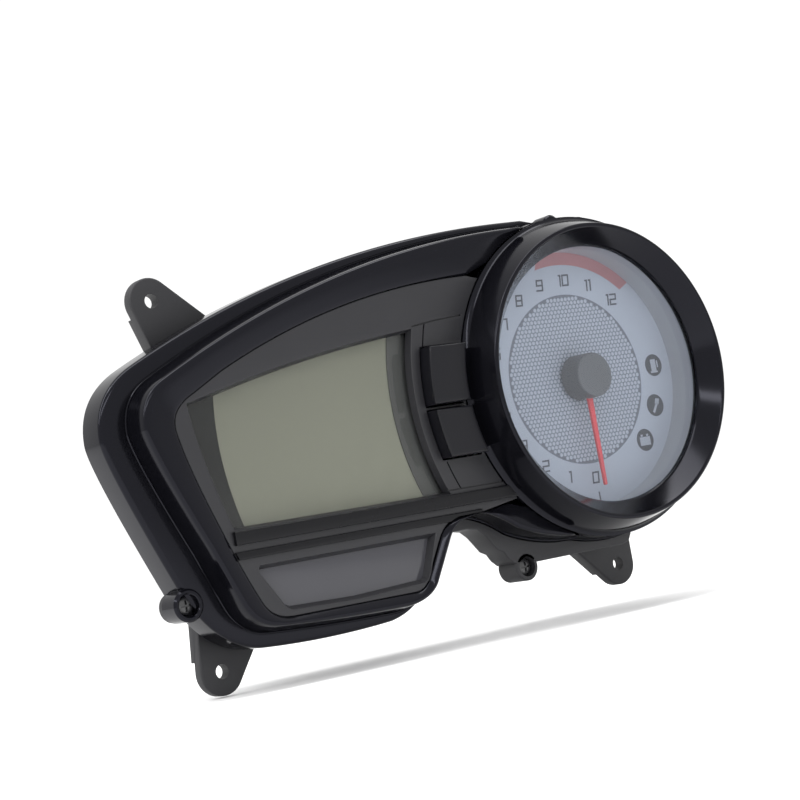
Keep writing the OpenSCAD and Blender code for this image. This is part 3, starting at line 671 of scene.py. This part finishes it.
# Every figure is made of straight strokes, 2.5 mm wide and 3.5 mm high, leaning a little.
strokes = {"a": ((0, 3.5), (2.5, 3.5)), "b": ((2.5, 3.5), (2.5, 1.75)),
           "c": ((2.5, 1.75), (2.5, 0)), "d": ((0, 0), (2.5, 0)), "e": ((0, 1.75), (0, 0)),
           "f": ((0, 3.5), (0, 1.75)), "g": ((0, 1.75), (2.5, 1.75)), "h": ((1.9, 3.5), (2.5, 3.5))}
digits = ["abcdef", "hbc", "abged", "abgcd", "fgbc", "afgcd", "afgedc", "abc", "abcdefg", "abcdfg"]
figure_radius = 34.4
half_high = 1.75
half_stroke = 0.29
lean = 0.12
wide_step = 3.3
narrow_step = 1.6
figures = []
for value in range(13):
    angle = math.radians(271 - 18.5 * value)
    wide = -0.5
    for digit in str(value):
        wide += narrow_step if digit == "1" else wide_step
    left = -wide / 2
    for digit in str(value):
        if digit == "1":
            left -= 1.9
        for part in digits[int(digit)]:
            (x0, z0), (x1, z1) = strokes[part]
            x_low, x_high = min(x0, x1) - half_stroke, max(x0, x1) + half_stroke
            z_low, z_high = min(z0, z1) - half_stroke, max(z0, z1) + half_stroke
            corners = [(x_low, z_low), (x_high, z_low), (x_high, z_high), (x_low, z_high)]
            figures.append([(left + x + lean * (z - half_high) + figure_radius * math.cos(angle),
                             z - half_high + figure_radius * math.sin(angle)) for x, z in corners])
        left += 3.5 if digit == "1" else wide_step
figures.append([(0.4, -39.4), (1.0, -39.4), (1.0, -43.6), (0.4, -43.6)])
fixed(put("dial_figures", printed(figures, 0.05)), dark_ink, "dial_print")

zone = arc((0, 0), 39.8, 104, 47, 40) + arc((0, 0), 44.6, 45, 100, 40)
fixed(put("red_zone", printed([zone], 0.025)), red_ink, "dial_print")

spots = [arc(middle, 3.9, 0, 352, 44) for middle in ((36.4, 1.1), (33.7, -13), (26, -24.5))]
smoked_ink = moulded("smoked_ink", "#44464e", 0.35, 0.2, 0.001)
fixed(put("lamp_spots", printed(spots, 0.03)), smoked_ink, "dial_print")
# Three generic signs: a fuel pump, a spanner and a battery.
signs = [[(34.6, -1.6), (38.0, -1.6), (38.0, -1.0), (34.6, -1.0)],
         [(35.1, -1.0), (37.5, -1.0), (37.5, 3.2), (35.1, 3.2)],
         [(37.9, 0.2), (38.5, 0.2), (38.5, 2.6), (37.9, 2.6)],
         [(32.1, -15.2), (32.9, -15.8), (35.2, -12.4), (34.4, -11.8)],
         [(33.6, -12.3), (35.4, -12.9), (36.0, -10.9), (34.3, -10.6)],
         [(23.6, -26.4), (28.4, -26.4), (28.4, -23.4), (23.6, -23.4)],
         [(24.2, -23.2), (25.2, -23.2), (25.2, -22.5), (24.2, -22.5)],
         [(26.8, -23.2), (27.8, -23.2), (27.8, -22.5), (26.8, -22.5)]]
pale_ink = moulded("pale_ink", "#a9adb8", 0.5, 0.2, 0.001)
fixed(put("lamp_signs", printed(signs, 0.04)), pale_ink, "dial_print")
under = turned([(2.4, 0.015), (2.4, -0.005), (29.4, -0.005), (29.4, 0.015)], (0, 0), 128)
fixed(put("dial_mesh_ground", under), mesh_ink, "dial_print")
cells = []
pitch = 1.6
cell_radius = 0.73
for row in range(-24, 25):
    for column in range(-22, 23):
        x = (column + 0.5 * (row % 2)) * pitch
        z = row * pitch * 0.866
        if 3.4 < math.hypot(x, z) < 28.6:
            cells.append([(x + cell_radius * math.cos(math.radians(a)),
                           z + cell_radius * math.sin(math.radians(a)))
                          for a in range(30, 390, 60)])
fixed(put("dial_mesh_cells", printed(cells, 0.025)), dial_silver, "dial_print")

surround = turned([(44.2, 0), (44.2, -0.4), (44.75, -9.8), (44.9, -9.9), (46.2, -9.9), (46.2, 0)],
                  (0, 0), 160)
grey_abs = moulded("silver_grey_abs", "#9a9ca2", 0.35, 0.4, 0.004, 0.05)
fixed(put("dial_wall", surround), grey_abs, "surround_abs", "dial_surround")

# ---------------------------------------------------------------- pointer
# A translucent red acrylic needle pressed with its grey hub on the motor's shaft.
# It rests on nought and sweeps clockwise.
needle_shape = [(-1.1, 4), (-1.1, -6), (-0.62, -37.2), (-0.3, -37.5), (0.3, -37.5), (0.62, -37.2),
                (1.1, -6), (1.1, 4)]
red_acrylic = moulded("translucent_red_acrylic", "#d8404a", 0.2, 0.5, 0.001, 0.04)
needle = put("needle", plate([needle_shape], -5.4, -4.2, 0.3))
needle.data.materials.append(red_acrylic)
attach(needle, "pointer_assembly")
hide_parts("pointer")
hub_grey = moulded("satin_grey_abs", "#58595d", 0.45, 1.0, 0.001)
crown = 0.7
hub_profile = [(0, -5.42), (6.0, -5.42), (6.0, -1.4), (7.8, -1.4)]
hub_profile += [(6.9 + crown * math.cos(a), -9.2 - crown * math.sin(a))
                for a in np.linspace(0, 1.5, 6)]
hub_profile += [(3, -9.9), (0, -9.9)]
# The skirt is open where the needle leaves it.
slot_cutter = plate([[(-1.8, 0.5), (1.8, 0.5), (1.8, -9), (-1.8, -9)]], -5.41, 0, 0.02, 1)
hub = put("needle_hub", cut([turned(hub_profile, (0, 0), 96)], [slot_cutter]))
hub.data.materials.append(hub_grey)
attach(hub, "pointer_assembly")
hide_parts("pointer_hub")

# ---------------------------------------------------------------- inner panel
# The charcoal ABS panel inside the rim, spark eroded to a soft sheen, with the
# openings for the display, the lamp strip and the buttons and two trim lines.
panel_edge = (arc((0, 0), 55, -138, -222, 40) + bend((-41.4, 38.2), (-95, 38.2), (-144, 16.4), 24)
              + [(-154.7, 10.8)] + bend((-154.7, 10.8), (-163.6, 7), (-162.8, 0), 10)
              + bend((-162.8, 0), (-161, -11), (-153.4, -31), 10)
              + bend((-153.4, -31), (-148, -46), (-143.4, -55), 8)
              + bend((-143.4, -55), (-140.5, -59.6), (-134, -59.8), 6) + [(-88, -60.2)]
              + bend((-88, -60.2), (-84.6, -60.2), (-82.6, -57.6), 6) + [(-74.4, -44)]
              + bend((-74.4, -44), (-72, -40.6), (-67, -39.4), 5) + [(-56, -39.2)])


def key_shape(inner, outer, foot, top):
    """Part of a ring round the dial, cut level at its foot and top, left of the dial."""
    a = 180 - math.degrees(math.asin(top / outer))
    b = 180 - math.degrees(math.asin(foot / outer))
    c = 180 - math.degrees(math.asin(foot / inner))
    d = 180 - math.degrees(math.asin(top / inner))
    return arc((0, 0), outer, a, b, 14) + arc((0, 0), inner, c, d, 14)


def groove(points, width, front, back):
    """A narrow closed strip along a line, for sawing a seam."""
    left = []
    right = []
    for i, p in enumerate(points):
        a = np.array(points[max(i - 1, 0)], float)
        b = np.array(points[min(i + 1, len(points) - 1)], float)
        u = (b - a) / np.linalg.norm(b - a)
        n = np.array([-u[1], u[0]]) * width / 2
        left.append(tuple(np.array(p) + n))
        right.append(tuple(np.array(p) - n))
    return plate([left + right[::-1]], front, back, 0.01, 1)


panel_front = -8
panel_back = -5.6
panel = plate([moved_out(panel_edge, -0.15), lcd_open, telltale_open,
               key_shape(56.2, 71.4, -3.3, 16.2), key_shape(56.2, 71.4, -20.6, -4.2)],
              panel_front, panel_back, 0.35, 3)
seam_lines = [arc((0, 0), 70.4, 180 - 12.4, 180 - 20, 10),
              arc((0, 0), 70.4, 180 + 17.6, 180 + 25.6, 10),
              [(-71.4, 23.2), (-62, 24.4), (-51, 25.2)], [(-70, -30.5), (-46, -30.5)]]
panel = cut([panel], [groove(line, 0.5, -9, -7.2) for line in seam_lines])


def lip(outline, inward, front, back):
    """A sloping edge that runs round the inside of an opening."""
    inner = moved_out(outline, -inward)
    mesh = bpy.data.meshes.new("lip")
    work = bmesh.new()
    rows = [[work.verts.new(at(x, y, z)) for x, z in points]
            for points, y in ((outline, front), (inner, back), (outline, back))]
    for near, far in ((0, 1), (1, 2), (2, 0)):
        for i in range(len(outline)):
            j = (i + 1) % len(outline)
            work.faces.new((rows[near][i], rows[near][j], rows[far][j], rows[far][i]))
    bmesh.ops.recalc_face_normals(work, faces=work.faces)
    work.to_mesh(mesh)
    work.free()
    return mesh


panel = together("panel", [panel, lip(moved_out(lcd_open, 0.02), 0.75, -7.7, -5.62),
                           lip(moved_out(telltale_open, 0.02), 1.1, -7.7, -5.62)])
charcoal_abs = moulded("charcoal_abs", "#242427", 0.4, 0.3, 0.005, specular=0.33)
fixed(panel, charcoal_abs, "panel_matt_abs", "inner_panel")
# Two shelf bars lie on the panel. What is under the dial's ring or past the panel's
# edge is cut away.
shelf = plate([[(-150, -36), (-36, -36), (-36, -31.9), (-150, -31.9)]], -9.6, -7.9, 0.4)
shelf_low = plate([[(-152.4, -40.4), (-57, -40.4), (-57, -38), (-151.4, -38)]], -9.0, -7.9, 0.4)
ring_room = turned([(0, -20), (54.2, -20), (54.2, 2), (0, 2)])
outside = plate([[(-200, -100), (80, -100), (80, 100), (-200, 100)], moved_out(panel_edge, -0.3)],
                -12, 0, 0.01, 1)
shelf = cut([shelf], [ring_room, outside])
shelf_low = cut([shelf_low], [outside])
satin_trim = moulded("satin_charcoal_abs", "#0d0d10", 0.28, 0.3, 0.003, specular=0.2)
fixed(together("shelf", [shelf, shelf_low]), satin_trim, "panel_matt_abs", "shelf_trim")

# ---------------------------------------------------------------- buttons
# Two curved keys between the display and the dial, moulded in black ABS with a
# satin skin. Each slides straight in and presses a red plunger on its switch.
satin_abs = moulded("satin_black_abs", "#141418", 0.3, 0.3, 0.003, specular=0.2)
for key, body, foot, top, plunger in (("upper_button", "upper_key", -2.9, 15.8, (-63.5, 6.5)),
                                      ("lower_button", "lower_key", -20.2, -4.6, (-62.5, -12.6))):
    face = plate([key_shape(56.6, 71, foot, top)], -13, -3.4, 0.8, 4)
    stem = turned([(0, -4), (2.2, -4), (2.2, 8.1), (2.0, 8.3), (0, 8.3)], plunger, 32)
    made = together(key + "_cap", [face, stem])
    made.data.materials.append(satin_abs)
    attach(made, body)
    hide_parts(key)
red_nylon = moulded("red_nylon", "#a3282a", 0.45, 0.3, 0.004)
cad("upper_plunger", red_nylon)
cad("lower_plunger", red_nylon)

# ---------------------------------------------------------------- front cover
# One moulding in high gloss black ABS: a wall, a ledge and a raised rim. Polished
# tool steel gives it a mirror skin, slightly wavy, that reads blue grey in the light.
rim_edge = (arc((0, 0), 54.9, -106, 97, 60)
            + bend((-12, 52.6), (-92, 52.6), (-165.4, 15.7), 40)
            + bend((-165.4, 15.7), (-173.6, 11.5), (-173.5, 1.5), 14)
            + bend((-173.5, 1.5), (-172.5, -6), (-158.5, -36), 16) + [(-151.4, -53)]
            + bend((-151.4, -53), (-148, -61), (-139, -61.8), 12)
            + bend((-139, -61.8), (-117, -63.6), (-92, -63.8), 8)
            + bend((-92, -63.8), (-83.6, -63.4), (-79.6, -58.6), 12) + [(-71.4, -45)]
            + bend((-71.4, -45), (-69.8, -42), (-66.5, -40.6), 6)
            + bend((-61, -38.8), (-53, -39.6), (-43.8, -46.4), 10)
            + bend((-43.8, -46.4), (-34, -50.7), (-22, -52.0), 10))
# The opening follows the panel past the arc that starts its outline, then the ring.
ring_points = 41
opening = (panel_edge[ring_points:] + arc((0, 0), 55.2, 222.5, 254, 20)
           + arc((0, 0), 54, 255, 457, 80) + arc((0, 0), 55.2, 458, 498, 24))


def evenly(points, spacing):
    """Points spaced evenly along a closed outline, and their outward normals."""
    loop = np.array(list(points) + [points[0]], float)
    steps = np.linalg.norm(np.diff(loop, axis=0), axis=1)
    keep = np.concatenate([[True], steps > 1e-6])
    loop = loop[keep]
    along = np.concatenate([[0], np.cumsum(np.linalg.norm(np.diff(loop, axis=0), axis=1))])
    count = int(along[-1] / spacing)
    where = np.linspace(0, along[-1], count, endpoint=False)
    even = np.stack([np.interp(where, along, loop[:, k]) for k in (0, 1)], 1)
    ahead = np.roll(even, -3, 0) - np.roll(even, 3, 0)
    ahead /= np.linalg.norm(ahead, axis=1)[:, None]
    return even, np.stack([ahead[:, 1], -ahead[:, 0]], 1)


def nearest(points, target):
    """For each point, the place in another outline of the point that is nearest to it."""
    return np.array([int(np.argmin(np.linalg.norm(target - p, axis=1))) for p in points])


# The cover is lofted between three outlines: its foot, the rim's crest and the mouth
# of its opening. The rim's normals are smoothed, so that its bends stay even.
outer, outer_n = evenly(cover_edge, 0.9)
rim_fine, rim_fine_n = evenly(rim_edge, 0.15)
kernel = np.ones(9) / 9
for k in (0, 1):
    wrapped = np.concatenate([rim_fine_n[-4:, k], rim_fine_n[:, k], rim_fine_n[:4, k]])
    rim_fine_n[:, k] = np.convolve(wrapped, kernel, "valid")
rim_fine_n /= np.linalg.norm(rim_fine_n, axis=1)[:, None]
matches = nearest(outer, rim_fine)
rim = rim_fine[matches]
rim_n = rim_fine_n[matches]
open_fine = evenly(opening, 0.15)[0]
mouth = open_fine[nearest(rim, open_fine)]
# The crest sinks where it runs under the dial's ring.
reach = np.linalg.norm(rim, axis=1)
under_ring = np.clip((56.6 - reach) / 1.6, 0, 1)
under_ring = under_ring ** 2 * (3 - 2 * under_ring)
ledge = np.linalg.norm(outer - rim, axis=1)
face_width = np.linalg.norm(mouth - rim, axis=1)
crest = -9.5 + 3.9 * under_ring


def loop_of(points, depth):
    """A loop of the loft at one depth, or at a depth for each point."""
    depth = np.broadcast_to(depth, (len(points),))
    return [at(x, y, z) for (x, z), y in zip(points, depth)]


def toward(a, b, share):
    """Points part of the way from one outline to another."""
    return a + (b - a) * np.broadcast_to(share, (len(a),))[:, None]


# From the foot: the outer wall, its rounded corner, a groove at the ledge's inner edge,
# the rim's outer wall, its crest, the face that falls to the mouth, and the hidden side.
foot_depth = 11.0
loops = [loop_of(outer, foot_depth), loop_of(outer, 10.9), loop_of(outer, 1.5)]
corner = np.minimum(1.5, ledge * 0.4)
for a in np.linspace(0.2, math.pi / 2, 5):
    loops.append(loop_of(outer - outer_n * (corner * (1 - math.cos(a)))[:, None],
                         corner - corner * math.sin(a)))
draft = np.minimum(1.1, ledge * 0.35)
for share, depth in ((1.75, 0.0), (1.6, 0.3), (1.35, 0.3), (1.2, 0.0)):
    loops.append(loop_of(rim + rim_n * (draft * share)[:, None], depth * np.minimum(1, ledge / 5)))
for share, depth in ((1.05, -0.12), (0.97, -0.6), (0.5, crest * 0.5), (0.1, crest + 1.3)):
    loops.append(loop_of(rim + rim_n * (draft * share)[:, None], depth))
turn = np.minimum(1.1, face_width * 0.35)
for a in np.linspace(0.15, math.pi / 2, 6):
    loops.append(loop_of(rim - rim_n * (turn * (1 - math.cos(a)))[:, None],
                         crest + turn - turn * math.sin(a)))
edge_in = rim - rim_n * turn[:, None]
fall = crest + 1.25 * (1 - under_ring)
for share in (0.2, 0.4, 0.6, 0.8, 0.93):
    depth = crest + (fall - crest) * share ** 1.4
    loops.append(loop_of(toward(edge_in, mouth, share), depth))
loops.append(loop_of(toward(edge_in, mouth, 0.985), fall + 0.05))
loops.append(loop_of(mouth, fall + 0.25))
loops.append(loop_of(mouth, -5.55))
cover_wall = 2.4
hidden = np.minimum(cover_wall, face_width * 0.6)
loops.append(loop_of(rim - rim_n * hidden[:, None], np.maximum(crest + 2.0, -7.4)))
loops.append(loop_of(rim - rim_n * hidden[:, None], cover_wall))
back_in = np.minimum(cover_wall, ledge + hidden - 0.2)
loops.append(loop_of(outer - outer_n * back_in[:, None], cover_wall))
loops.append(loop_of(outer - outer_n * cover_wall, foot_depth))
verts = [v for loop in loops for v in loop]
faces = []
count = len(outer)
for j in range(len(loops)):
    for i in range(count):
        k = (i + 1) % count
        n = (j + 1) % len(loops)
        faces.append((j * count + i, j * count + k, n * count + k, n * count + i))
shell = bpy.data.meshes.new("cover")
shell.from_pydata(verts, [], faces)
work = bmesh.new()
work.from_mesh(shell)
bmesh.ops.remove_doubles(work, verts=work.verts, dist=5e-6)
bmesh.ops.dissolve_degenerate(work, edges=work.edges, dist=2e-6)
bmesh.ops.recalc_face_normals(work, faces=work.faces)
work.to_mesh(shell)
work.free()
shell.polygons.foreach_set("use_smooth", [True] * len(shell.polygons))
shell.set_sharp_from_angle(angle=math.radians(48))
boss = turned([(1.6, 2), (3.4, 2), (3.4, -1.7), (3.7, -2), (4.4, -2), (5, -1.4), (5, 5.8),
               (1.6, 5.8)], boss_lower_left, 64)
blind_bosses = [turned([(0, 4), (3.3, 4), (3.9, 4.6), (3.9, 10.8), (0, 10.8)], p, 48)
                for p in (boss_top, boss_right)]
seat = turned([(47.8, -5.6), (54.2, -5.6), (54.2, -3.2), (47.8, -3.2)])
gloss_abs, tree, output = empty_material("gloss_black_abs")
place = add(tree, "ShaderNodeTexCoord", {}, {})
waves = add(tree, "ShaderNodeTexNoise", {"Scale": 55.0, "Detail": 1.0},
            {"Vector": place.outputs["Object"]})
wavy = add(tree, "ShaderNodeBump", {"Strength": 0.25, "Distance": 0.0002},
           {"Height": waves.outputs["Fac"]})
haze = add(tree, "ShaderNodeTexNoise", {"Scale": 18.0, "Detail": 4.0},
           {"Vector": place.outputs["Object"]})
polish = add(tree, "ShaderNodeMapRange", {"To Min": 0.1, "To Max": 0.17},
             {"Value": haze.outputs["Fac"]})
black = add(tree, "ShaderNodeMix",
            {"data_type": "RGBA", 6: linear("#07070a"), 7: linear("#0b0b0f")},
            {0: haze.outputs["Fac"]})
shader = add(tree, "ShaderNodeBsdfPrincipled",
             {"IOR": 1.53, "Specular IOR Level": 0.17, "Specular Tint": linear("#ecedff")},
             {"Base Color": black.outputs[2], "Roughness": polish.outputs["Result"],
              "Normal": wavy.outputs["Normal"]})
tree.links.new(shader.outputs["BSDF"], output.inputs["Surface"])
cover = together("cover_shell", [shell, boss] + blind_bosses + [seat])
fixed(cover, gloss_abs, "cover_gloss_abs", "front_cover")

# ---------------------------------------------------------------- dial ring and lens
# The same gloss ABS as the cover, turned smooth: a tall cone with a rounded crest
# that flares at its foot and falls to a lip over the clear polycarbonate lens.
flare = [(54.9, -8.35)] + [(54.9 - 2.0 * math.sin(a), -8.35 - 2.6 * (1 - math.cos(a)))
                           for a in np.linspace(0.3, 1.2, 6)]
crest_round = 0.7
brow = [(49.7 + crest_round * math.cos(a), -19.5 - crest_round * math.sin(a))
        for a in np.linspace(0.3, math.pi / 2, 7)]
brow += [(49.3 - crest_round * math.sin(a), -19.5 - crest_round * math.cos(a))
         for a in np.linspace(0.1, 1.0, 6)]
lens_seat = [(44.3, -14.3), (43.7, -13.4), (43.6, -13.1), (43.6, -12.7), (46.6, -12.7),
             (46.6, -5.8), (54.6, -5.8), (54.9, -6.1)]
ring = turned(flare + brow + lens_seat, (0, 0), 256)
fixed(put("dial_ring", ring), gloss_abs, "cover_gloss_abs", "tacho_ring")
lens_pc = clear("clear_polycarbonate", "#f2f4f6", 0.9, 0.03)
glass = turned([(0, -12.5), (46.2, -12.5), (46.4, -12.3), (46.4, -11), (46.2, -10.8), (0, -10.8)],
               (0, 0), 160)
fixed(put("dial_lens", glass), lens_pc, "clear_pc", "tacho_lens")

# ---------------------------------------------------------------- screws
# Cross recessed screws in black oxide steel: one in the lower left boss and one in
# the chin from the front, the rest from behind.


def screw(centre, seat_depth, end, front):
    """A pan head screw with a cross recess; front says which way the head faces."""
    head_radius = 2.9
    shank_radius = 1.25
    way = -1 if front else 1
    profile = [(0, seat_depth + way * 1.95)]
    profile += [(head_radius * math.sin(a), seat_depth + way * (0.75 + 1.2 * math.cos(a)))
                for a in np.linspace(0.2, math.pi / 2, 8)]
    profile += [(head_radius, seat_depth), (shank_radius, seat_depth), (shank_radius, end), (0, end)]
    near, far = sorted((seat_depth + way * 0.9, seat_depth + way * 4))
    x, z = centre
    bars = [plate([[(x - w, z - h), (x + w, z - h), (x + w, z + h), (x - w, z + h)]],
                  near, far, 0.02, 1)
            for w, h in ((1.7, 0.35), (0.35, 1.7))]
    return cut([turned(profile, centre, 40)], bars)


front_screws = together("front_screws", [screw(boss_lower_left, 2, 8.5, True),
                                         screw(boss_chin, 4, 10.2, True)])
fixed(front_screws, black_oxide, "screw_black", "housing_screws")
rear = [screw(p, 21.02, 1, False) for p in back_screws]
rear += [screw(p, 14.42, 6, False) for p in (boss_top, boss_right)]
fixed(together("rear_screws", rear), black_oxide, "screw_black", "rear_cover_screws")
